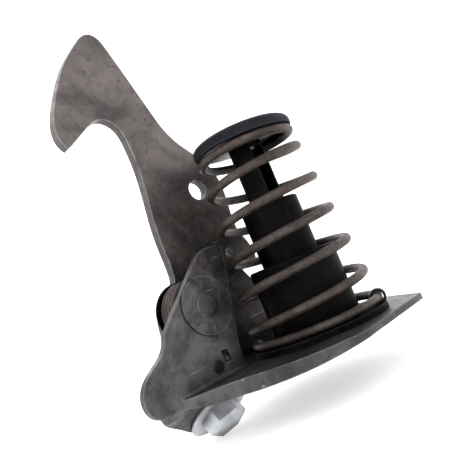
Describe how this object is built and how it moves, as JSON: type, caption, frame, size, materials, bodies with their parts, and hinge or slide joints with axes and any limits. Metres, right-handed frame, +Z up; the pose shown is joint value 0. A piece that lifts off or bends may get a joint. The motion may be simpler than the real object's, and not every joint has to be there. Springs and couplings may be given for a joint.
{
  "type": "bonnet catch",
  "caption": "Weathered steel bonnet catch: a sprung telescoping bump post beside a sprung safety hook on a stamped bracket.",
  "frame": {"origin": "on the post's axis at the underside of the base plate", "axes": "+Z up the post, +X along the hook's plate, +Y along the hook's pivot from the cheek to the hook"},
  "size_m": [0.1219, 0.0886, 0.1648],
  "materials": {
    "sheet_steel": "weathered grey steel with thin rust",
    "black_post": "satin black",
    "cap_rubber": "worn blue-black rubber",
    "spring_wire": "brown-grey rusty wire",
    "zinc": "light zinc plate"
  },
  "bodies": {
    "base": {"base_bracket": "sheet_steel", "guide_tube": "black_post", "guide_tube_rivets": "sheet_steel", "main_spring": "spring_wire", "spring_clip": "sheet_steel", "torsion_spring": "spring_wire", "spring_retainer": "sheet_steel", "pivot_stud": "sheet_steel", "pivot_bush": "sheet_steel", "pivot_washer": "sheet_steel", "stop_pin": "sheet_steel", "flange_bolt": "zinc", "bolt_washer": "zinc", "bolt_nut": "zinc"},
    "hook": {"hook_lever": "sheet_steel"},
    "sleeve": {"middle_sleeve": "black_post"},
    "cap": {"upper_stem": "black_post", "cap_plate": "sheet_steel", "spring_cap": "cap_rubber", "cap_rivet": "zinc"}
  },
  "joints": [
    {"name": "cap_slide", "type": "slide", "parent": "base", "child": "cap", "axis": [0, 0, -1], "range_m": [0, 0.044], "stiffness_N_per_m": 2500, "springref_m": -0.01, "deforming": ["main_spring"]},
    {"name": "sleeve_slide", "type": "slide", "parent": "base", "child": "sleeve", "axis": [0, 0, -1], "range_m": [0, 0.022]},
    {"name": "hook_hinge", "type": "hinge", "parent": "base", "child": "hook", "pos_m": [-0.038, 0.029, 0.0287], "axis": [0, 1, 0], "range_deg": [0, 20], "stiffness_Nm_per_rad": 1.2, "springref_deg": -20.05, "deforming": ["torsion_spring"]}
  ],
  "couplings": [
    {"joint": "sleeve_slide", "follows": "cap_slide", "ratio": 0.5}
  ]
}
